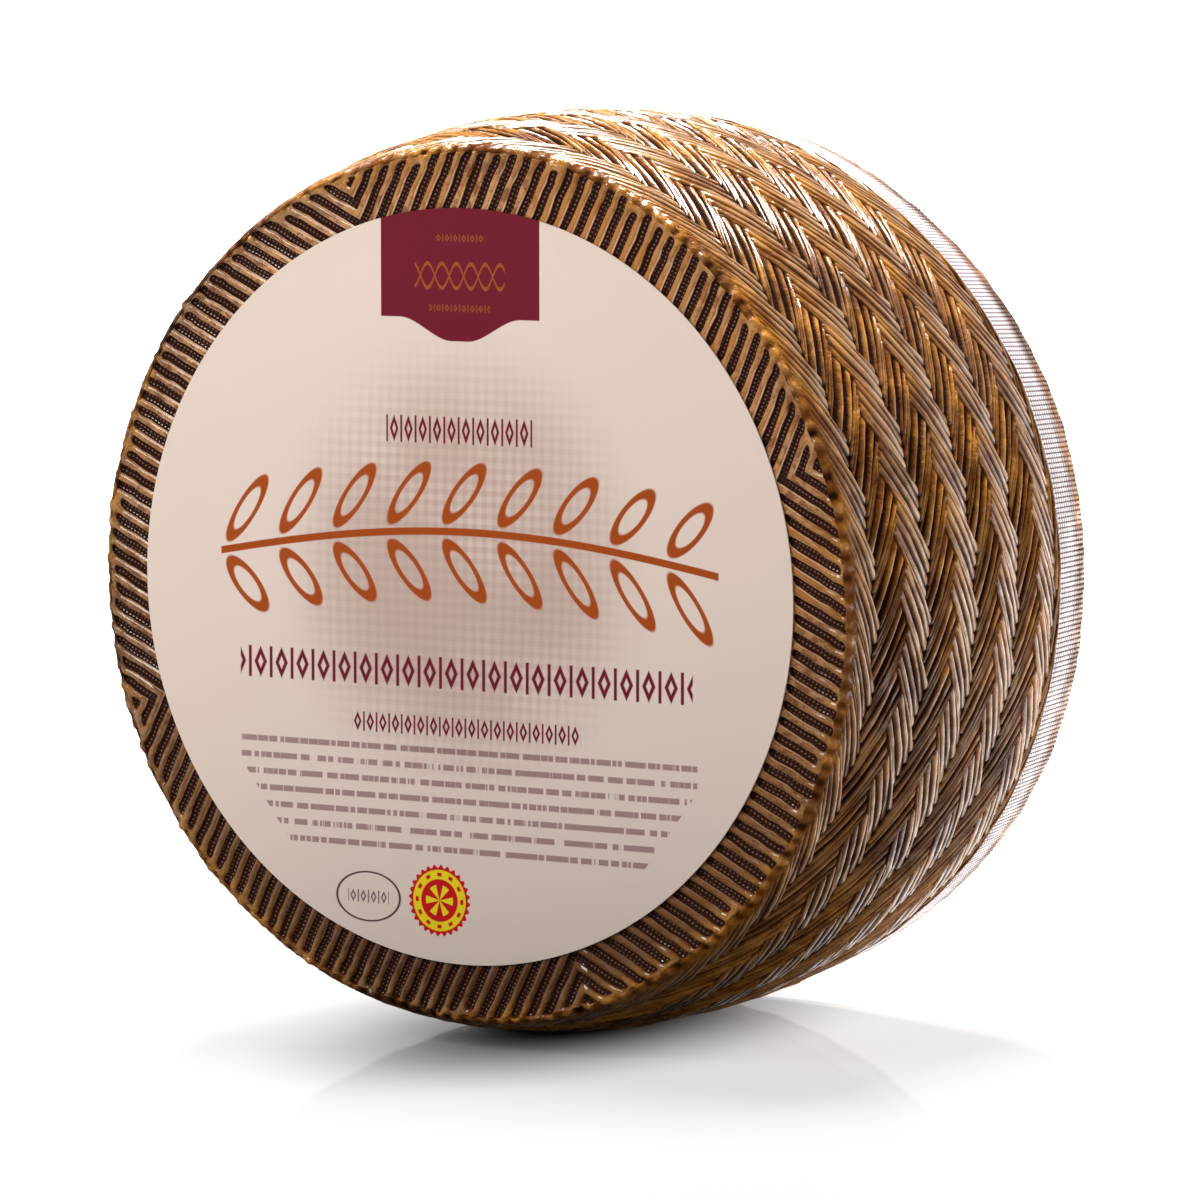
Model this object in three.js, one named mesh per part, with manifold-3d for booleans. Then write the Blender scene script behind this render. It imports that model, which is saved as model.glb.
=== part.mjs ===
// A whole wheel of hard sheep's-milk cheese, standing on its rim, with a round paper label on one face.
// Millimetres, +Z up. The origin is the middle of the patch it stands on; the labelled face looks along -Y.

import * as THREE from 'three';
import { mergeVertices } from 'three/addons/utils/BufferGeometryUtils.js';
import Module from 'manifold-3d';

// Driving dimensions
const WHEEL_DIAMETER = 200;      // across the fullest part of the barrel
const WHEEL_THICKNESS = 98.6;    // from face to face
const FRONT_RIM_DIAMETER = 187;  // where the barrel turns in to the labelled face
const BACK_RIM_DIAMETER = 190;   // where it turns in to the plain face
const EDGE_ROUND = 3.5;          // radius of the worn edge between barrel and face
const BARREL_POWER = 2.4;        // above 2 the barrel stays fuller in the middle than a parabola
const STANDING_FLAT_DEPTH = 0.6; // how far the cheese has settled where it stands
const LABEL_DIAMETER = 161.2;
const LABEL_THICKNESS = 0.35;
const LABEL_GAP = 0.3;           // glue line between paper and rind
const LABEL_OFFSET_X = -1;       // the label was laid on a little off centre

const BARREL_STEPS = 14;         // rings across the barrel
const EDGE_STEPS = 3;            // rings round each edge
const WHEEL_SEGMENTS = 96;
const LABEL_SEGMENTS = 72;

const WHEEL_RADIUS = WHEEL_DIAMETER / 2;
const AXLE_HEIGHT = WHEEL_RADIUS - STANDING_FLAT_DEPTH;
const LABEL_STANDOFF = LABEL_GAP + LABEL_THICKNESS;
const BACK_FACE_Y = (WHEEL_THICKNESS + LABEL_STANDOFF) / 2;
const FRONT_FACE_Y = BACK_FACE_Y - WHEEL_THICKNESS;

// A lathe turns round Y, and this cheese lies on its side, so its axis already is Y.
// In a profile, x is the radius and y the distance along the axis, from front to back.

function barrelRadius(along, rimRadius) {
  // along runs from 0 at the middle of the barrel to 1 at a rim
  return WHEEL_RADIUS - (WHEEL_RADIUS - rimRadius) * along ** BARREL_POWER;
}

function edgeArc(rimRadius, faceY, fromBarrel) {
  // A quarter round from the face to the barrel, or back from the barrel to the face
  const inward = Math.sign(FRONT_FACE_Y + BACK_FACE_Y - 2 * faceY);
  const points = [];
  for (let step = 0; step <= EDGE_STEPS; step++) {
    const turn = (step / EDGE_STEPS) * Math.PI / 2;
    const angle = fromBarrel ? Math.PI / 2 - turn : turn;
    points.push(new THREE.Vector2(
      rimRadius - EDGE_ROUND + EDGE_ROUND * Math.sin(angle),
      faceY + inward * EDGE_ROUND * (1 - Math.cos(angle)),
    ));
  }
  return points;
}

function wheelProfile() {
  const frontRim = FRONT_RIM_DIAMETER / 2;
  const backRim = BACK_RIM_DIAMETER / 2;
  const middle = (FRONT_FACE_Y + BACK_FACE_Y) / 2;
  const halfBarrel = WHEEL_THICKNESS / 2 - EDGE_ROUND;
  const profile = [new THREE.Vector2(0, FRONT_FACE_Y), ...edgeArc(frontRim, FRONT_FACE_Y, false)];
  for (let step = 1; step < BARREL_STEPS; step++) {
    const along = 2 * step / BARREL_STEPS - 1;
    const rim = along < 0 ? frontRim : backRim;
    profile.push(new THREE.Vector2(barrelRadius(Math.abs(along), rim), middle + along * halfBarrel));
  }
  profile.push(...edgeArc(backRim, BACK_FACE_Y, true), new THREE.Vector2(0, BACK_FACE_Y));
  return profile;
}

const wasm = await Module();
wasm.setup();

function toSolid(geometry) {
  const bare = geometry.clone();
  bare.deleteAttribute('normal');
  bare.deleteAttribute('uv');
  const merged = mergeVertices(bare, 1e-4);
  return new wasm.Manifold(new wasm.Mesh({
    numProp: 3,
    vertProperties: new Float32Array(merged.getAttribute('position').array),
    triVerts: new Uint32Array(merged.getIndex().array),
  }));
}

function toGeometry(solid) {
  const mesh = solid.getMesh();
  const geometry = new THREE.BufferGeometry();
  geometry.setAttribute('position', new THREE.BufferAttribute(new Float32Array(mesh.vertProperties), 3));
  geometry.setIndex(new THREE.BufferAttribute(new Uint32Array(mesh.triVerts), 1));
  geometry.computeVertexNormals();
  return geometry;
}

function cheeseWheel() {
  // One pressed body: the turned barrel, with its underside cut level where it has settled
  const barrel = new THREE.LatheGeometry(wheelProfile(), WHEEL_SEGMENTS);
  barrel.translate(0, 0, AXLE_HEIGHT);
  const below = new THREE.BoxGeometry(WHEEL_DIAMETER, WHEEL_DIAMETER, WHEEL_DIAMETER);
  below.translate(0, 0, -WHEEL_DIAMETER / 2);
  const rind = new THREE.MeshStandardMaterial({ color: 0x8a5a32, roughness: 0.4, metalness: 0 });
  const wheel = new THREE.Mesh(toGeometry(toSolid(barrel).subtract(toSolid(below))), rind);
  wheel.name = 'cheese_wheel';
  return wheel;
}

function paperLabel() {
  // A thin disc of printed paper on the front face
  const radius = LABEL_DIAMETER / 2;
  const outline = [[0, 0], [radius, 0], [radius, LABEL_THICKNESS], [0, LABEL_THICKNESS]];
  const disc = new THREE.LatheGeometry(outline.map(([r, y]) => new THREE.Vector2(r, y)), LABEL_SEGMENTS);
  const paper = new THREE.MeshStandardMaterial({ color: 0xe5d2c4, roughness: 0.6, metalness: 0 });
  const label = new THREE.Mesh(disc, paper);
  label.name = 'label';
  label.position.set(LABEL_OFFSET_X, FRONT_FACE_Y - LABEL_STANDOFF, AXLE_HEIGHT);
  return label;
}

const part = new THREE.Group();
part.add(cheeseWheel(), paperLabel());

export default part;
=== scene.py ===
import math

import bmesh
import bpy
import numpy as np
from mathutils import Matrix, Vector, noise


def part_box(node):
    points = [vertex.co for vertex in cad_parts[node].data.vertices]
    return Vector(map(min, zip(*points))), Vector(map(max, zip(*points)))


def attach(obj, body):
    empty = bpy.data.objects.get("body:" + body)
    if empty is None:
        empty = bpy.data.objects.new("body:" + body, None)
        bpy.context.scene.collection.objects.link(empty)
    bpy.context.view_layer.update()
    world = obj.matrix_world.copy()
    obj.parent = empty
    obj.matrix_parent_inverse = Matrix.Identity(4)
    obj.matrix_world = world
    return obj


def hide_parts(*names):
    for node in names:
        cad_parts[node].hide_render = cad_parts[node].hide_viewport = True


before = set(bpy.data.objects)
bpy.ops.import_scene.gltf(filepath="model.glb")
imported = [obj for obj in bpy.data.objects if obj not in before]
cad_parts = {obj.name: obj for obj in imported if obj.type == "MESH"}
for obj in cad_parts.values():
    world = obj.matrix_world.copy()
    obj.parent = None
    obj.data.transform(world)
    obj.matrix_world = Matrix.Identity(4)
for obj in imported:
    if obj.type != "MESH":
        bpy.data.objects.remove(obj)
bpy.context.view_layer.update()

MM = 0.001


# The pressed cheese. One solid barrel of hard cheese, waxed brown. Its side keeps the print of a plaited
# grass band: bundles of five strands that slant up and down by turns. The faces keep the ribs of the
# mould's two boards, and a band near the back rim keeps the weave of the draining cloth.

wheel_low, wheel_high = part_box("cheese_wheel")
FRONT = wheel_low.y                          # plane of the labelled face
THICKNESS = (wheel_high.y - wheel_low.y) / MM
RADIUS = (wheel_high.x - wheel_low.x) / 2 / MM
AXLE = wheel_high.z - RADIUS * MM            # height of the wheel's middle
WIDEST = 51.9                                # depth behind the front face where the barrel is widest
FRONT_RIM, BACK_RIM = 93.1, 97.4             # radius at each edge

GROUPS = 45                                  # bundles round the wheel in each row of the plait
STRANDS = 5
ACROSS = 6                                   # mesh columns over one strand
COLUMNS = STRANDS * ACROSS
AROUND = GROUPS * COLUMNS                    # mesh columns round the wheel
LEAN = 35                                    # columns a strand climbs or falls on its way over a row
TURN_PHASE = math.radians(-0.35)             # where the first bundle starts
FIRST_ROW, ROW, ROW_GROWTH = 7.5, 8.7, 0.16  # where the first row ends, and how wide the others grow
ROWS = 10
POINT_WIDTH = 2.8                            # how far the seam between two rows zigzags
STRAND_DEPTH = 1.2
CLOTH_START = 84.2
CLOTH_THREADS = 570


def dent(turn, middle, width, height):
    """A smooth swelling or hollow of the side, centred on an angle in degrees."""
    off = (turn - math.radians(middle) + np.pi) % (2 * np.pi) - np.pi
    return height * np.exp(-(off / math.radians(width)) ** 2)


def round_error(turn, depth):
    """How far the hand-pressed side strays from a true circle, in millimetres."""
    back_share = np.clip(depth / THICKNESS, 0, 1)
    in_front = dent(turn, 32, 26, -1.5) + dent(turn, 78, 18, 1.1) + dent(turn, -35, 24, 0.8)
    behind = dent(turn, 52, 18, -0.8) + dent(turn, -28, 20, 0.7)
    return in_front * (1 - back_share) + behind * back_share


def barrel(depth):
    """Radius of the barrel at a depth behind the front face."""
    reach = np.where(depth < WIDEST, WIDEST, THICKNESS - WIDEST)
    rim = np.where(depth < WIDEST, FRONT_RIM, BACK_RIM)
    return RADIUS - (RADIUS - rim) * ((depth - WIDEST) / reach) ** 2


def on_side(turn, depth, lift, radius=None):
    """Points on the side, from an angle, a depth behind the front face and a lift off the barrel."""
    base = barrel(depth) if radius is None else radius
    r = base + round_error(turn, depth) + lift
    height = np.maximum(AXLE / MM + r * np.sin(turn), 0)
    return np.stack([r * np.cos(turn) * MM, FRONT + depth * MM, height * MM], -1)


class Skin:
    """Gathers the rind's points and faces. Each point carries how raised, how amber and how clothlike it
    is, and its place on the mould's board."""

    def __init__(self):
        self.points, self.relief, self.amber, self.faces, self.count = [], [], [], [], 0
        self.board, self.cloth = [], []

    def add(self, points, relief, amber, board=0.0, cloth=0.0):
        shape = points.shape[:-1]
        self.points.append(points.reshape(-1, 3))
        self.relief.append(np.broadcast_to(relief, shape).reshape(-1))
        self.amber.append(np.broadcast_to(amber, shape).reshape(-1))
        self.cloth.append(np.broadcast_to(cloth, shape).reshape(-1))
        self.board.append(np.broadcast_to(board, points.shape).reshape(-1, 3))
        ids = self.count + np.arange(points.size // 3).reshape(shape)
        self.count += ids.size
        return ids

    def quads(self, grid):
        """Fills a grid of points, whose last two directions run across and along."""
        corners = [grid[..., :-1, :-1], grid[..., 1:, :-1], grid[..., 1:, 1:], grid[..., :-1, 1:]]
        self.faces += np.stack(corners, -1).reshape(-1, 4).tolist()

    def join_rings(self, first, first_turn, second, second_turn):
        """Joins two closed rings of points by their angles, with each step taken on the ring that lags."""
        rings = []
        for ids, turn in ((first, first_turn), (second, second_turn)):
            turn = np.asarray(turn) % (2 * np.pi)
            order = np.argsort(turn)
            ids, turn = np.asarray(ids)[order], turn[order]
            rings.append((np.append(ids, ids[0]).tolist(), np.append(turn, turn[0] + 2 * np.pi).tolist()))
        (first, at), (second, to) = rings
        i = j = 0
        while i < len(first) - 1 or j < len(second) - 1:
            step_first = j == len(second) - 1 or (i < len(first) - 1 and at[i + 1] <= to[j + 1])
            tip = first[i + 1] if step_first else second[j + 1]
            if len({first[i], second[j], tip}) == 3:
                self.faces.append([first[i], second[j], tip])
            i, j = (i + 1, j) if step_first else (i, j + 1)


skin = Skin()
chance = np.random.default_rng(7)
column = np.arange(AROUND)


def scatter(size, spread):
    """Random strays from zero, none of them more than twice the spread."""
    return chance.normal(0, spread, size).clip(-2 * spread, 2 * spread)


# The seams between the rows zigzag. Each bundle's end slopes away along the seam, then the side of the
# next bundle steps back. Even seams stand up and odd ones are sunk. The first and the last, where the
# plait meets the front edge and the cloth band, are nearly straight.
SEAM_UP, SEAM_DOWN = 0.2, -0.25              # how far an even and an odd seam stand off the barrel
EDGE_FLOOR = -0.2
SEAM_STRAY = 0.2
seam_depth, seam_ids = [], []
raised = [SEAM_DOWN if seam % 2 else SEAM_UP for seam in range(ROWS + 1)]
column_turn = column * 2 * np.pi / AROUND + TURN_PHASE
for seam in range(ROWS + 1):
    odd = seam % 2
    depth = FIRST_ROW + ROW * (seam - 1) + ROW_GROWTH / 2 * (seam - 1) * (seam - 2)
    top = 0.72 if odd else 0.55              # where along its end a bundle steps back
    floor = raised[seam] - STRAND_DEPTH * (0.85 if odd else 0.5)
    reach, relief, tint, cloth_share = POINT_WIDTH, 0.0 if odd else 0.4, 0.0 if odd else 0.5, 0.0
    if seam == 0:
        depth, reach, floor, relief, tint = 1.5, 0.9, EDGE_FLOOR, 0.65, 0.9
    elif seam == ROWS:
        depth, reach, floor, relief, tint, cloth_share = CLOTH_START - 0.9, 0.8, EDGE_FLOOR, 0.75, 0.3, 0.3
    start = 0 if odd else LEAN - COLUMNS     # the column where a bundle begins
    within = (column - start) % COLUMNS / COLUMNS
    slope = np.where(within < top, within / top, (1 - within) / (1 - top))
    stray = scatter(GROUPS, SEAM_STRAY)[(column - start) // COLUMNS % GROUPS]
    seam_depth.append(depth + reach * (slope - 0.5) + stray * min(1, reach - 0.7))
    seam_ids.append(skin.add(on_side(column_turn, seam_depth[-1], floor), relief, tint, cloth=cloth_share))

# Heights across a strand, and how far each mesh column moves off its even place to keep the edges sharp
RISING = np.array([0.0, 0.85, 1.0, 0.4, 0.08, 0.0])
RISING_SHIFT = np.array([0, -0.3, -0.45, -0.5, -0.3, 0.0])
FALLING = np.array([0.0, 0.85, 1.0, 1.0, 0.94, 0.5])
FALLING_SHIFT = np.array([0, -0.4, -0.2, 0.1, 0.5, 0.6])
along = np.array([0.06, 0.36, 0.64, 0.94])   # where the mesh crosses a strand, from end to end

for row in range(ROWS):
    way = 1 if row % 2 else -1               # strands climb or fall towards the back
    start = 0 if row % 2 else LEAN - COLUMNS
    within = (column - start) % COLUMNS
    group = (column - start) // COLUMNS % GROUPS
    strand = within // ACROSS
    share = (within / COLUMNS)[:, None]      # 0 to 1 across a bundle
    height = (RISING if way > 0 else FALLING)[within % ACROSS]
    shift = (RISING_SHIFT if way > 0 else FALLING_SHIFT)[within % ACROSS][:, None]
    sway = scatter((GROUPS, STRANDS, len(along)), 0.08)[group, strand] * height[:, None]
    turn = (column[:, None] + way * LEAN * along + sway + shift) * 2 * np.pi / AROUND + TURN_PHASE
    far_end = np.roll(seam_depth[row + 1], -way * LEAN)[:, None]
    depth = seam_depth[row][:, None] * (1 - along) + far_end * along

    strength = 1 + scatter((GROUPS, STRANDS, len(along)), 0.07) + scatter((GROUPS, STRANDS, 1), 0.08)
    hill = height[:, None] * strength[group, strand]
    # Towards a raised seam the last strand flattens out
    to_raised = along if row % 2 else 1 - along
    flat = np.clip((share if row % 2 else 1 - share) * 2.2 - 1.2, 0, 1) * np.clip(to_raised * 2 - 0.7, 0, 1)
    hill = hill * (1 - 0.6 * flat) + 0.62 * 0.6 * flat
    if row in (0, ROWS - 1):                 # the outermost rows melt into the edges beside them
        merge = 0.7 * np.clip(4 * (along if row else 1 - along) - 3, 0, 1)
        hill = hill * (1 - merge) + 0.72 * merge
    hill = np.where((within == 0)[:, None], -0.3, hill)    # the groove between two bundles is deepest
    swell = raised[row] + (raised[row + 1] - raised[row]) * along
    crown = 0.12 * np.sin(np.pi * share) * np.sin(np.pi * along)
    lift = (hill - 1) * STRAND_DEPTH + swell + crown
    tint = np.clip(to_raised * 1.5 - 0.6, 0, 1) * (0.55 + 0.45 * share) + (0.6 if row % 2 else 0)
    ids = skin.add(on_side(turn, depth, lift), hill, np.clip(tint, 0, 1))
    ids = np.concatenate([seam_ids[row][:, None], ids, np.roll(seam_ids[row + 1], -way * LEAN)[:, None]], 1)
    skin.quads(np.concatenate([ids, ids[:1]]))


def turns_of(ids):
    """The angle of each point round the wheel."""
    xyz = np.concatenate(skin.points)[ids]
    return np.arctan2(xyz[:, 2] - AXLE, xyz[:, 0])


def ring(count, depth, radius, lift, relief, amber, cloth=0.0):
    """One ring of points round the wheel."""
    turn = np.arange(count) * 2 * np.pi / count
    place = on_side(turn, np.broadcast_to(depth, count), lift, radius)
    return skin.add(place, relief, amber, cloth=cloth)


def ragged(count, humps, size):
    """A smooth random line round the wheel."""
    values = np.append(chance.uniform(-size, size, humps), 0)
    values[-1] = values[0]
    return np.interp(np.arange(count) / count, np.arange(humps + 1) / humps, values)


# The cloth band, and the back edge, where the print gives way to torn amber wax
CLOTH_DEPTHS = (CLOTH_START, 87.5, 91.2, 94.6, 97.2)
TORN_START, TORN_WIDTH = 91.5, 3.2
BACK_ROUND, BACK_TURN_IN = 1.4, 1.6
threads = np.arange(2 * CLOTH_THREADS)
raised_thread = threads % 2
cloth_rings = []
torn = ragged(len(threads), 260, 0.2) + ragged(len(threads), 70, 0.15)
for depth in CLOTH_DEPTHS:
    thread_lift = raised_thread * 0.22 - 0.12 + scatter(len(threads), 0.03)
    at_edge = min(1, max(0, (depth - TORN_START) / TORN_WIDTH))
    lift = thread_lift + torn * 0.6 * at_edge
    cloth_rings.append(ring(len(threads), depth + torn * at_edge, barrel(depth), lift,
                            0.45 + 0.4 * raised_thread, at_edge, 1.0))
for angle in (math.radians(35), math.radians(65), math.radians(90)):
    depth = THICKNESS - BACK_ROUND + BACK_ROUND * math.sin(angle)
    radius = barrel(CLOTH_DEPTHS[-1]) - BACK_TURN_IN * (1 - math.cos(angle))
    lift = torn * 0.7 + scatter(len(threads), 0.05)
    cloth_rings.append(ring(len(threads), depth, radius, lift, 0.75, 1.0, 0.2))
cloth = np.stack(cloth_rings, -1)
skin.quads(np.concatenate([cloth, cloth[:1]]))
skin.join_rings(seam_ids[ROWS], column_turn, cloth[:, 0], turns_of(cloth[:, 0]))

# The front edge. It swells at the end of each rib and sinks at the end of each groove. Each ring of its
# mesh has a depth, a step inward and a looseness, which says how far it follows the ragged flaps.
RIB_PITCH = 3.46
FAN_TILT = math.radians(64)
LIP_POINTS = 1080
LIP_RINGS = ((0.9, 0.1, 0.5), (0.4, 0.3, 1.0), (0.05, 0.75, 1.0), (0.1, 1.2, 0.6))
lip_turn = np.arange(LIP_POINTS) * 2 * np.pi / LIP_POINTS
in_fan = (lip_turn - FAN_TILT + np.pi / 4) % (np.pi / 2) - np.pi / 4
rib_end = np.cos(2 * np.pi * np.sin(in_fan) * FRONT_RIM / RIB_PITCH)
flaps = ragged(LIP_POINTS, 340, 0.35) + ragged(LIP_POINTS, 120, 0.3) + 0.15 * rib_end
curls = ragged(LIP_POINTS, 330, 0.3) + 0.15 * rib_end
lip_rings = []
for depth, inward, loose in LIP_RINGS:
    lift = flaps * loose + scatter(LIP_POINTS, 0.06)
    relief = 0.62 + 0.1 * rib_end + 0.55 * flaps
    lip_rings.append(ring(LIP_POINTS, depth - curls * loose, FRONT_RIM - 0.2 - inward, lift, relief, 1.0))
lip = np.stack(lip_rings, -1)
skin.quads(np.concatenate([lip, lip[:1]]))
skin.join_rings(seam_ids[0], column_turn, lip[:, 0], turns_of(lip[:, 0]))

# The ribbed faces. Four fans of straight ribs meet in chevrons on two crossing lines.
RIB_PLACES = np.array([-0.14, 0.14, 0.27, 0.4, 0.6, 0.73])
RIB_HEIGHTS = np.array([1.0, 1.0, 0.2, 0.0, 0.0, 0.2])
RIB_DEPTH = 1.0
RIM_STEPS = np.array([0, 0.7, 1.5, 2.4, 3.6, 5.4, 8.2])
RIBS = 30                                    # ribs each side of the middle, past the rim's reach
FRONT_OUTER, BACK_OUTER = 91.7, 91.0         # radius of each ribbed face
LABEL_HIDES = 77.0                           # the front ribs are left out inside this radius
BANDS = 200                                  # more than the grooves of one fan, for the random draws


def ribbed_face(outer, inner, mid_rows, plane, outward):
    """Adds one face and returns its outer ring. Outward is -1 for the front face and 1 for the back."""
    reach = outer / math.sqrt(2)
    counts = np.arange(-RIBS, RIBS + 1)
    v = (counts[:, None] + RIB_PLACES[None, :]).ravel() * RIB_PITCH
    height = np.tile(RIB_HEIGHTS, len(counts))
    band = np.floor(v / RIB_PITCH + 0.0001).astype(int)
    keep = np.abs(v) < reach - 0.15
    v, height, band = v[keep], height[keep], band[keep]
    v = np.concatenate([[-reach], v, [reach]])
    height = np.concatenate([[1], height, [1]])
    band = np.concatenate([[band[0]], band, [band[-1]]])
    u_out = np.sqrt(np.maximum(outer ** 2 - v ** 2, reach ** 2))
    u_in = np.maximum(np.abs(v), np.sqrt(np.maximum(inner ** 2 - v ** 2, 0)))
    length = u_out - u_in
    rim = RIM_STEPS[None, :] * np.minimum(1, length / 20)[:, None]
    rest = rim[:, -1:] + (length[:, None] - rim[:, -1:]) * np.arange(1, mid_rows + 1)[None, :] / mid_rows
    u = u_out[:, None] - np.concatenate([rim, rest], 1)
    outer_ids, outer_turns = [], []
    for fan in range(4):
        close = outer - 0.1 + scatter(BANDS, 0.7)   # where each groove closes near the rim
        radius = np.hypot(u, v[:, None])
        across = (v / RIB_PITCH) % 1 - 0.5       # 0 in the middle of a groove
        closing = close[band + BANDS // 2][:, None] - 5 * np.abs(across[:, None]) ** 2
        closed = np.clip((radius - closing) / 1.1 + 0.5, 0, 1)
        under_label = np.clip((inner + 2.5 - radius) / 2, 0, 1) if inner else 0
        tall = height[:, None] + (1 - height[:, None]) * np.maximum(closed, under_label)
        tilt = FAN_TILT + fan * np.pi / 2
        phase = chance.uniform(0, 2 * np.pi, (2, BANDS))[:, band + BANDS // 2][:, :, None]
        wander = 0.12 * np.sin(u * 0.9 + phase[0]) + 0.08 * np.sin(u * 2.1 + phase[1])
        side = v[:, None] + wander * np.clip((u - np.abs(v[:, None])) / 2, 0, 1)
        x = u * math.cos(tilt) - side * math.sin(tilt)
        z = u * math.sin(tilt) + side * math.cos(tilt)
        turn = np.arctan2(z, x)
        stray = 1 + round_error(turn, plane) / outer * np.clip((radius - 80) / 11, 0, 1)
        depth = plane - outward * (1 - tall) * RIB_DEPTH
        xyz = np.stack([x * stray * MM, FRONT + depth * MM, AXLE + z * stray * MM], -1)
        amber = np.clip((radius - 85.5) / 5, 0, 1)
        board = np.stack([u, np.broadcast_to(v[:, None] / RIB_PITCH, u.shape), 1 - closed], -1)
        ids = skin.add(xyz, tall, amber, board)
        skin.quads(ids)
        outer_ids += ids[:, 0].tolist()
        outer_turns += turn[:, 0].tolist()
    return outer_ids, outer_turns


front_ids, front_turns = ribbed_face(FRONT_OUTER, LABEL_HIDES, 2, 0.0, -1)
skin.join_rings(front_ids, front_turns, lip[:, -1], turns_of(lip[:, -1]))
back_ids, back_turns = ribbed_face(BACK_OUTER, 0.0, 3, THICKNESS, 1)
skin.join_rings(back_ids, back_turns, cloth[:, -1], turns_of(cloth[:, -1]))

# Slow waves over the whole rind, which stays level where it stands
points = np.concatenate(skin.points)
wobble = np.array([noise.noise(Vector(p) * 60) for p in points]) * 0.25 * MM
from_middle = points - np.array([0, FRONT + THICKNESS * MM / 2, AXLE])
points += from_middle / np.linalg.norm(from_middle, axis=1)[:, None] * wobble[:, None]
points[:, 2] = np.maximum(points[:, 2], 0)

rind_mesh = bpy.data.meshes.new("rind")
rind_mesh.from_pydata(points.tolist(), [], skin.faces)
for name, values in (("relief", skin.relief), ("amber", skin.amber), ("cloth", skin.cloth)):
    layer = rind_mesh.attributes.new(name, "FLOAT", "POINT")
    layer.data.foreach_set("value", np.concatenate(values).astype(np.float32))
layer = rind_mesh.attributes.new("board", "FLOAT_VECTOR", "POINT")
layer.data.foreach_set("vector", np.concatenate(skin.board).astype(np.float32).ravel())
# Closes the round hole under the label, and the slivers where the fans of ribs meet
shaped = bmesh.new()
shaped.from_mesh(rind_mesh)
bmesh.ops.remove_doubles(shaped, verts=shaped.verts, dist=1e-6)
open_edges = [edge for edge in shaped.edges if edge.is_boundary]
filled = bmesh.ops.holes_fill(shaped, edges=open_edges, sides=0)
bmesh.ops.poke(shaped, faces=filled["faces"])
bmesh.ops.recalc_face_normals(shaped, faces=shaped.faces)
for face in shaped.faces:
    face.smooth = True
shaped.to_mesh(rind_mesh)
shaped.free()
rind = bpy.data.objects.new("cheese_rind", rind_mesh)
bpy.context.scene.collection.objects.link(rind)


class Wire:
    """A socket of a material's nodes. Sums and products of wires add Math nodes."""

    def __init__(self, tree, socket):
        self.tree, self.socket = tree, socket

    def node(self, kind, settings=None, inputs=None, output=0):
        made = self.tree.nodes.new(kind)
        for name, value in (settings or {}).items():
            if name == "stops":
                ramp = made.color_ramp
                while len(ramp.elements) < len(value):
                    ramp.elements.new(0.5)
                for element, (at, colour) in zip(ramp.elements, value):
                    element.position, element.color = at, colour
            else:
                setattr(made, name, value)
        for name, value in (inputs or {}).items():
            if isinstance(value, Wire):
                self.tree.links.new(value.socket, made.inputs[name])
            else:
                made.inputs[name].default_value = value
        return Wire(self.tree, made.outputs[output])

    def maths(self, operation, *values):
        return self.node("ShaderNodeMath", {"operation": operation}, dict(enumerate(values)))

    def __add__(self, other):
        return self.maths("ADD", self, other)

    def __radd__(self, other):
        return self.maths("ADD", other, self)

    def __sub__(self, other):
        return self.maths("SUBTRACT", self, other)

    def __rsub__(self, other):
        return self.maths("SUBTRACT", other, self)

    def __mul__(self, other):
        return self.maths("MULTIPLY", self, other)

    def __rmul__(self, other):
        return self.maths("MULTIPLY", other, self)

    def __truediv__(self, other):
        return self.maths("DIVIDE", self, other)

    def band(self, low, high):
        """0 below low, 1 above high, smooth between."""
        return self.node("ShaderNodeMapRange", {"interpolation_type": "SMOOTHSTEP"},
                         {"Value": self, "From Min": low, "From Max": high})

    def between(self, first, second):
        """first where the wire is 0, second where it is 1; colours or wires of colour."""
        return self.node("ShaderNodeMix", {"data_type": "RGBA"}, {0: self, 6: first, 7: second}, 2)


def new_material(name):
    """A material, its surface shader and a wire of its Object coordinates."""
    material = bpy.data.materials.new(name)
    material.use_nodes = True
    tree = material.node_tree
    surface = tree.nodes["Principled BSDF"]
    places = tree.nodes.new("ShaderNodeTexCoord")
    return material, surface, Wire(tree, places.outputs["Object"])


def wire_to(surface, name, wire):
    wire.tree.links.new(wire.socket, surface.inputs[name])


rind_material, rind_surface, place = new_material("waxed_rind")


def stored(name, output):
    return place.node("ShaderNodeAttribute", {"attribute_name": name}, output=output)


def grain(scale, detail=3.0, rough=0.55):
    return place.node("ShaderNodeTexNoise", {}, {"Vector": place, "Scale": scale, "Detail": detail,
                                                 "Roughness": rough})


relief, amber, woven = stored("relief", 2), stored("amber", 2), stored("cloth", 2)
board = stored("board", 1)
rib_along = board.node("ShaderNodeSeparateXYZ", {}, {"Vector": board}, 0)
rib_across = board.node("ShaderNodeSeparateXYZ", {}, {"Vector": board}, 1)
on_board = board.node("ShaderNodeSeparateXYZ", {}, {"Vector": board}, 2)
behind = place.node("ShaderNodeSeparateXYZ", {}, {"Vector": place}, 1)

blotch, speck, fine = grain(30), grain(300), grain(1100, 2.0)
on_rib = board.node("ShaderNodeVectorMath", {"operation": "LENGTH"}, {0: board}, 1).band(0.0, 1.0)
raised_part = relief + (speck - 0.5) * (0.3 + on_rib * 0.5) + (blotch - 0.5) * 0.3
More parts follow.
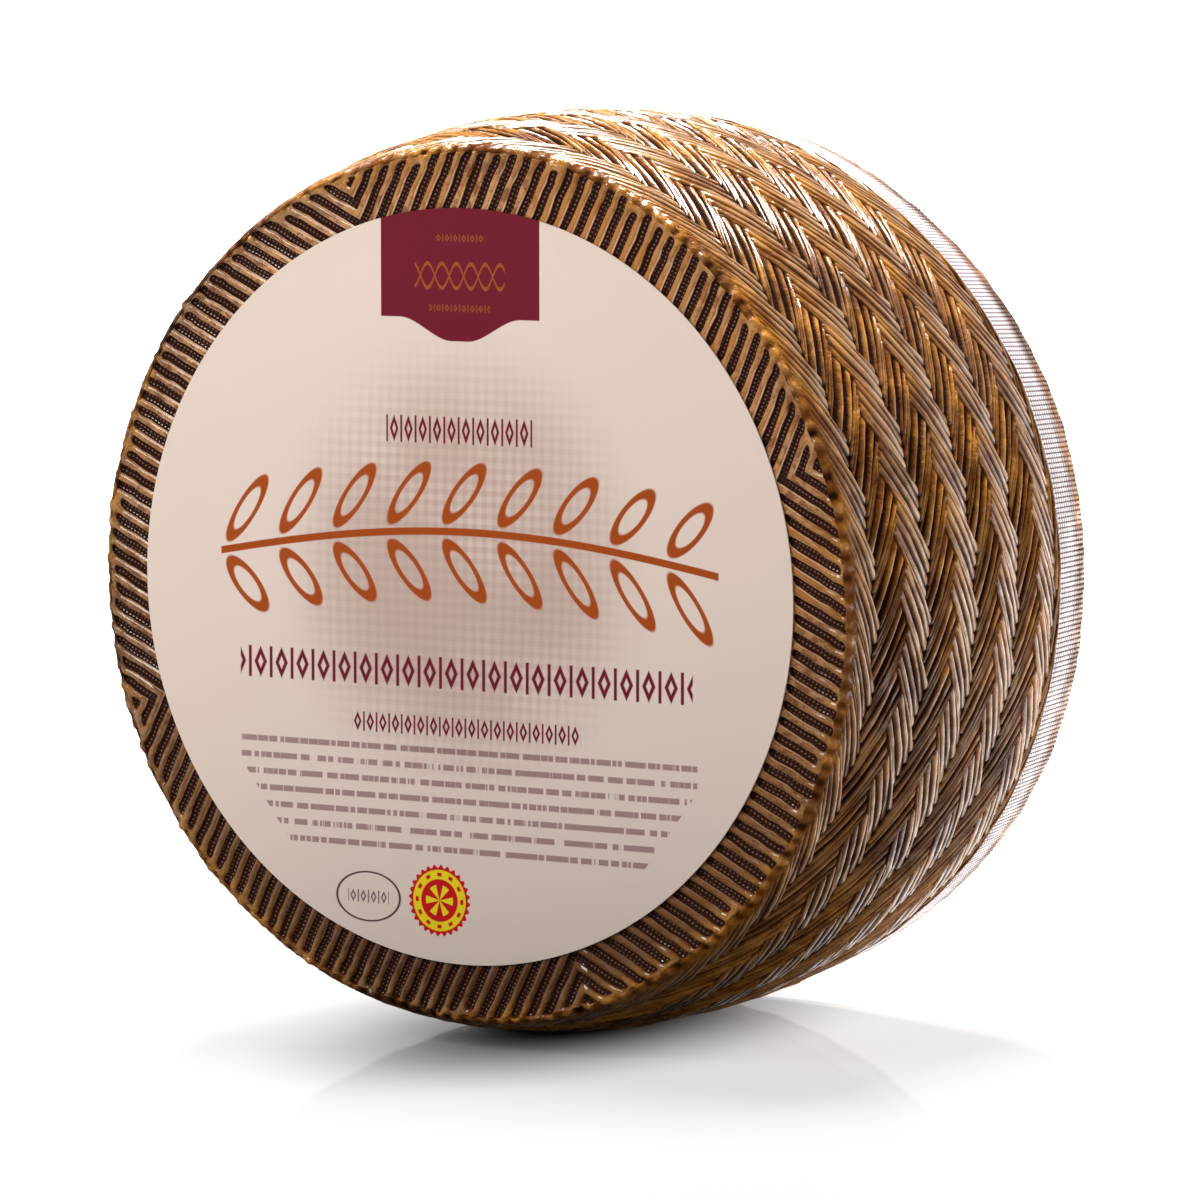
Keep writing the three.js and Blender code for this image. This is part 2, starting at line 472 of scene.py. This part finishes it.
# Two rows of round bumps along each groove of the boards, pressed from the cloth under them
BUMP_MIDDLE, BUMP_ROW, BUMP_STEP = 0.37, 0.26, 0.95
rib_turn = (rib_across - BUMP_MIDDLE) * (2 * math.pi / BUMP_ROW)
rib_run = rib_along * (2 * math.pi / BUMP_STEP)
bumps = rib_turn.maths("COSINE", rib_turn).band(-0.2, 0.9)
bumps = bumps * rib_run.maths("COSINE", rib_run).band(-0.4, 0.9)
bumps = bumps * on_board * (1 - relief.band(0.05, 0.4))
WEFT_PITCH = 1.2
weft = behind * (2 * math.pi / (WEFT_PITCH * MM))
weft = weft.maths("SINE", weft)

# The colour follows the relief: near black in the grooves, brown on the flanks, tan on the crests. The
# near-black grooves are partly wax gathered there and partly painted shade. The narrow tan crests are
# partly worn wax and partly a painted highlight.
GROOVE, BROWN, TAN = (0.013, 0.0028, 0.0004, 1), (0.105, 0.033, 0.007, 1), (0.34, 0.18, 0.082, 1)
AMBER, DEEP_AMBER = (0.60, 0.26, 0.035, 1), (0.17, 0.05, 0.004, 1)
colour = raised_part.band(0.34, 0.86).between(GROOVE, BROWN)
colour = raised_part.band(0.78, 1.04).between(colour, TAN)
patchy = grain(170, 2.0)
gold = (raised_part * 0.6 + patchy).band(0.75, 1.35).between(DEEP_AMBER, AMBER)
colour = (amber * blotch.band(0.3, 0.55) * raised_part.band(0.2, 0.6)).between(colour, gold)
floor_of_rib = on_board * (1 - relief.band(0.1, 0.5))
# The tops of the ribs are brown and stained, and their edges are painted pale as a painted highlight.
stain = grain(420, 3.0, 0.7)
rib_colour = stain.band(0.42, 0.58).between((0.25, 0.08, 0.012, 1), (0.60, 0.29, 0.10, 1))
rib_colour = blotch.band(0.45, 0.62).between(rib_colour, (0.50, 0.19, 0.028, 1))
rib_edge_highlight = relief.band(0.35, 0.6) * (1 - relief.band(0.75, 0.98)) * patchy.band(0.3, 0.55)
rib_colour = rib_edge_highlight.between(rib_colour, (0.94, 0.57, 0.34, 1))
# The ribs are painted darker towards the bottom of the wheel, a painted shade for the light that falls from
# above.
painted_shade_by_height = place.node("ShaderNodeSeparateXYZ", {}, {"Vector": place}, 2).band(-0.02, 0.17)
rib_colour = painted_shade_by_height.between((0.09, 0.03, 0.007, 1), rib_colour)
colour = (on_rib * relief.band(0.4, 0.6) * (1 - amber * 0.6) * 0.95).between(colour, rib_colour)
colour = floor_of_rib.between(colour, (0.036, 0.0105, 0.0045, 1))
colour = bumps.between(colour, (0.23, 0.105, 0.07, 1))
# The cloth band is painted pale on its thread tops, a painted sheen, and dark between its threads.
thread_tops = relief.band(0.45, 0.7) * (0.3 + weft.band(-0.6, 0.3) * 0.7)
cloth_sheen = thread_tops.between((0.13, 0.08, 0.08, 1), (0.76, 0.71, 0.72, 1))
colour = (woven * (1 - amber)).between(colour, cloth_sheen)
wire_to(rind_surface, "Base Color", colour)
wire_to(rind_surface, "Roughness", 0.88 - raised_part.band(0.2, 0.8) * 0.45 - blotch * 0.12 + speck * 0.12)
glossy = raised_part.band(0.45, 0.9) * (0.45 + speck.band(0.3, 0.7) * 0.55)
wire_to(rind_surface, "Coat Weight", glossy.maths("MAXIMUM", glossy, bumps))
rind_surface.inputs["Coat Roughness"].default_value = 0.09
rind_surface.inputs["Specular IOR Level"].default_value = 0.06
rough_height = speck * 0.5 + fine * 0.45 + bumps * 0.9 + weft * woven * 0.1 + amber * patchy * 1.6
rough_height = rough_height + on_rib * stain * 0.9 + amber * stain * 1.2
bump = place.node("ShaderNodeBump", {}, {"Strength": 0.7, "Distance": 0.0007, "Height": rough_height})
wire_to(rind_surface, "Normal", bump)
rind.data.materials.append(rind_material)
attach(rind, "root")
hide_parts("cheese_wheel")


# The label. A disc of smooth paper glued flat on the front ribs. It is printed in dark red and burnt
# orange on warm beige, with plain ornaments in the places of the words.

label_low, label_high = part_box("label")
label_middle = (label_low + label_high) / 2
bpy.ops.object.select_all(action="DESELECT")
bpy.ops.mesh.primitive_cylinder_add(vertices=256, radius=(label_high.x - label_low.x) / 2,
                                    depth=label_high.y - label_low.y, end_fill_type="NGON")
label = bpy.context.object
label.name = "paper_label"
bpy.ops.object.mode_set(mode="EDIT")
bpy.ops.mesh.select_all(action="SELECT")
bpy.ops.transform.rotate(value=math.pi / 2, orient_axis="X", center_override=(0, 0, 0))
bpy.ops.transform.translate(value=label_middle)
bpy.ops.object.mode_set(mode="OBJECT")
rounding = label.modifiers.new("soft_edge", "BEVEL")
rounding.width, rounding.segments, rounding.limit_method = 0.1 * MM, 2, "ANGLE"
bpy.ops.object.modifier_apply(modifier="soft_edge")
bpy.ops.object.shade_smooth_by_angle(angle=math.radians(40))

paper, paper_surface, place = new_material("printed_paper")
x = place.node("ShaderNodeSeparateXYZ", {}, {"Vector": place}, 0) * 1000.0
z = place.node("ShaderNodeSeparateXYZ", {}, {"Vector": place}, 2) * 1000.0 - AXLE / MM


def away(wire, middle):
    """Distance from a middle value."""
    off = wire - middle
    return off.maths("ABSOLUTE", off)


def less(wire, limit, soft=0.12):
    """1 where a distance is under a limit, 0 beyond it."""
    return 1 - wire.band(limit - soft, limit + soft)


def repeat(wire, period):
    """Distance from the nearest middle of a repeating cell."""
    cell = (wire / period).maths("FRACT", wire / period)
    return away(cell, 0.5) * period


def lozenges(middle_x, middle_z, half_x, half_z, period):
    """A row of hollow lozenges with a thin upright bar between each two."""
    off_z = away(z, middle_z)
    across = repeat(x - middle_x, period)
    from_centre = across / (period * 0.3) + off_z / half_z
    diamond = less(from_centre, 1.0, 0.1)
    hollow = less(from_centre, 0.42, 0.1)
    bar = less(period / 2 - across, period * 0.07) * less(off_z, half_z)
    figures = (diamond - hollow).maths("MAXIMUM", diamond - hollow, bar)
    return figures * less(away(x, middle_x), half_x)


def ellipse(middle_x, middle_z, half_x, half_z):
    """0 at the middle, 1 on the outline."""
    a, b = (x - middle_x) / half_x, (z - middle_z) / half_z
    return (a * a + b * b).maths("SQRT", a * a + b * b)


BEIGE, RED, ORANGE = (0.83, 0.68, 0.585, 1), (0.17, 0.010, 0.022, 1), (0.40, 0.07, 0.009, 1)
PINK, YELLOW, SCARLET = (0.55, 0.37, 0.32, 1), (0.93, 0.72, 0.02, 1), (0.62, 0.008, 0.012, 1)
ink = grain(9, 2.0)
# A pale picture of folded checked cloth, which fades out towards its edge
folds = x + (ink - 0.5) * 9
checks = less(repeat(folds, 2.4), 0.6, 0.15) + less(repeat(z, 2.4), 0.6, 0.15)
shade = 1 - ellipse(-1, 4, 52, 54).band(0.35, 1.0)
picture = shade * less(away(x, -1), 40, 8)
cloth_colour = (checks * 0.42 * picture).between(BEIGE, PINK)
fold_shade = grain(22, 3.0, 0.6).band(0.2, 0.6) * shade * 0.8
cloth_colour = fold_shade.between(cloth_colour, (0.56, 0.40, 0.335, 1))

# The banner that hangs from the top edge, with a small braid on it
curve = 57.3 - 4.9 * (1 - away(x, -1).band(2, 15))
banner = less(away(x, -1), 19.7, 0.1) * (z - curve).band(-0.1, 0.1)
printed = banner.between(cloth_colour, RED)
BRAID_PITCH = 7.2
wave = x * (2 * math.pi / BRAID_PITCH)
wave = wave.maths("SINE", wave) * 2.6
first_strand, second_strand = less(away(z - wave, 66.2), 0.42), less(away(z + wave, 66.2), 0.42)
braid = first_strand.maths("MAXIMUM", first_strand, second_strand) * less(away(x, -1), 11.2)
trim = lozenges(-1, 74.2, 6.2, 0.8, 2.1) + lozenges(-1, 59.4, 7.6, 0.8, 2.1)
printed = (braid + trim * 0.8).between(printed, (0.36, 0.085, 0.02, 1))

# Rows of lozenges, and the long winding sprig across the middle
rows = lozenges(-1.3, 33.5, 18.2, 2.9, 3.6) + lozenges(-0.6, -18.3, 56.5, 3.4, 5.4)
rows = rows + lozenges(0.2, -29.8, 28.6, 2.1, 3.2)
printed = rows.between(printed, RED)
LEAF_PITCH = 13.8
arch = x * (math.pi / 150)
arch = arch.maths("COSINE", arch) * 9 - 7.5
stem = away(z - arch, 10.5)
leaf_cell = x / LEAF_PITCH + 0.5
leaf_x = (leaf_cell.maths("FRACT", leaf_cell) - 0.5) * LEAF_PITCH
leaf_z = stem - 8.2
leaf_long = (leaf_x * 0.62 + leaf_z * 0.78) / 8.2
leaf_wide = (leaf_z * 0.62 - leaf_x * 0.78) / 2.7
leaf = leaf_long * leaf_long + leaf_wide * leaf_wide
leaf_line = less(away(leaf.maths("SQRT", leaf), 0.82), 0.19, 0.05)
sprig = less(stem, 0.8).maths("MAXIMUM", less(stem, 0.8), leaf_line) * less(away(x, 0), 62)
printed = sprig.between(printed, ORANGE)

# Seven rows of fine dashes, the lower ones shorter
LINE_PITCH = 3.53
line_place = (z + 35.0) / LINE_PITCH + 0.5
line_number = line_place.maths("FLOOR", line_place)
dash_noise = place.node("ShaderNodeTexNoise", {}, {"Vector": place.node(
    "ShaderNodeCombineXYZ", {}, {"X": x * 0.75, "Y": line_number * 7.3}), "Scale": 1.0, "Detail": 2.0})
taper = (-40 - z).maths("MAXIMUM", -40 - z, 0.0) * 0.75
dashes = dash_noise.band(0.40, 0.46) * less(repeat(z + 36.765, LINE_PITCH), 0.62)
dashes = dashes * less(away(z, -45.59), 12.3) * less(away(x, 0), 57 - taper)
printed = (dashes * 0.66).between(printed, (0.16, 0.035, 0.04, 1))

# The oval frame and the scalloped seal at the foot
oval = less(away(ellipse(-24.4, -67.6, 8.0, 5.3), 1.0), 0.035, 0.02)
printed = (oval + lozenges(-24.4, -67.6, 5.2, 1.4, 2.6) * 0.8).between(printed, (0.12, 0.03, 0.04, 1))
from_seal = ellipse(-6.4, -67.2, 1.0, 1.0)
angle = (z + 67.2).maths("ARCTAN2", z + 67.2, x + 6.4)
teeth = (angle * 28).maths("SINE", angle * 28)
seal = less(from_seal + teeth * 0.35, 7.4)
printed = seal.between(printed, SCARLET)
printed = less(from_seal, 6.6).between(printed, YELLOW)
beads = (angle * 12).maths("COSINE", angle * 12).band(0.2, 0.6) * less(away(from_seal, 5.6), 0.4)
printed = beads.between(printed, SCARLET)
printed = less(from_seal, 4.6).between(printed, SCARLET)
petals = (angle * 6).maths("COSINE", angle * 6).band(-0.2, 0.2) * less(from_seal, 3.4)
printed = petals.between(printed, YELLOW)
wire_to(paper_surface, "Base Color", printed)
paper_surface.inputs["Roughness"].default_value = 0.6
paper_surface.inputs["Specular IOR Level"].default_value = 0.08
label.data.materials.append(paper)
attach(label, "root")
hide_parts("label")


# The studio. A white floor under a bright horizon, with a strong soft light high above the wheel, a small
# one behind it that makes the wax glint, and a large fill in front.

bpy.ops.object.select_all(action="DESELECT")
bpy.ops.mesh.primitive_plane_add(size=60, location=(0, 0, 0))
floor = bpy.context.object
floor.name = "studio_floor"
white, white_surface, place = new_material("glowing_floor")
white_surface.inputs["Base Color"].default_value = (0.15, 0.15, 0.15, 1)
white_surface.inputs["Roughness"].default_value = 0.06
white_surface.inputs["IOR"].default_value = 1.03
narrowed = place.node("ShaderNodeVectorMath", {"operation": "MULTIPLY"}, {0: place, 1: (1, 0.5, 1)})
from_wheel = narrowed.node("ShaderNodeVectorMath", {"operation": "LENGTH"}, {0: narrowed}, 1)
# The floor glows instead of being lit. Near the wheel it has one glow that the camera sees and another that
# lights the wheel. The glow the camera sees fades close round the wheel, a painted shadow at its foot. The
# second is only behind it and to its right, so the underside in front stays dark. Further off they are one.
seen = place.node("ShaderNodeLightPath", output=0)
floor_x = place.node("ShaderNodeSeparateXYZ", {}, {"Vector": place}, 0)
floor_y = place.node("ShaderNodeSeparateXYZ", {}, {"Vector": place}, 1)
rear = floor_y.band(0.06, 0.2)
shown = from_wheel.band(0.01, 0.06) * 0.68 * (1 - rear) + rear * 0.75
hidden = rear * 0.7 + floor_y.band(-0.02, 0.08) * floor_x.band(-0.02, 0.08) * 2.0
glow = shown * seen + hidden * (1 - seen)
glow = glow + from_wheel.band(0.15, 0.5) * 0.7 + from_wheel.band(0.4, 1.2) * 0.8
wire_to(white_surface, "Emission Color", glow.node("ShaderNodeVectorMath", {"operation": "SCALE"},
                                                   {0: (1, 0.965, 0.95), "Scale": glow}))
white_surface.inputs["Emission Strength"].default_value = 1.0
floor.data.materials.append(white)

world = bpy.data.worlds.new("studio")
bpy.context.scene.world = world
world.use_nodes = True
tree = world.node_tree
look = Wire(tree, tree.nodes.new("ShaderNodeTexCoord").outputs["Generated"])
upward = look.node("ShaderNodeSeparateXYZ", {}, {"Vector": look}, 2)
rearward = look.node("ShaderNodeSeparateXYZ", {}, {"Vector": look}, 1)
horizon = rearward.band(-0.2, 0.7).between((0.55, 0.55, 0.55, 1), (2.0, 2.0, 2.0, 1))
sky = upward.band(0.12, 0.5).between(horizon, (0.13, 0.13, 0.14, 1))
tree.links.new(sky.socket, tree.nodes["Background"].inputs["Color"])
tree.nodes["Background"].inputs["Strength"].default_value = 1.0


def soft_light(name, place, size, watts):
    """A flat lamp, size wide and high, aimed at the middle of the wheel."""
    lamp = bpy.data.lights.new(name, "AREA")
    lamp.shape, lamp.size, lamp.size_y, lamp.energy = "RECTANGLE", size[0], size[1], watts
    holder = bpy.data.objects.new(name, lamp)
    bpy.context.scene.collection.objects.link(holder)
    holder.location = place
    holder.rotation_euler = (Vector((0, 0, AXLE)) - Vector(place)).to_track_quat("-Z", "Y").to_euler()


soft_light("overhead_light", (-0.05, 0.25, 1.3), (0.5, 0.4), 38)
soft_light("back_glint", (-0.6, 0.8, 0.95), (0.22, 0.22), 34)
soft_light("front_fill", (-1.0, -2.2, 1.9), (1.1, 1.1), 48)

# The camera stands to the wheel's right, a little above its middle
TURN, RISE = math.radians(30.7), math.radians(5.6)
DISTANCE, LENS = 1.4, 192.1
ASIDE, BELOW = 0.00327, 0.00659              # how far it stands off the line to the wheel's middle
back = Vector((math.sin(TURN) * math.cos(RISE), -math.cos(TURN) * math.cos(RISE), math.sin(RISE)))
right = Vector((math.cos(TURN), math.sin(TURN), 0))
up = back.cross(right)
camera_data = bpy.data.cameras.new("camera")
camera_data.lens, camera_data.sensor_width = LENS, 36
camera = bpy.data.objects.new("camera", camera_data)
bpy.context.scene.collection.objects.link(camera)
stand = Vector((0, FRONT + THICKNESS * MM / 2, AXLE)) + back * DISTANCE + right * ASIDE - up * BELOW
camera.matrix_world = Matrix.Translation(stand) @ Matrix((right, up, back)).transposed().to_4x4()
bpy.context.scene.camera = camera
bpy.context.scene.view_settings.view_transform = "Standard"
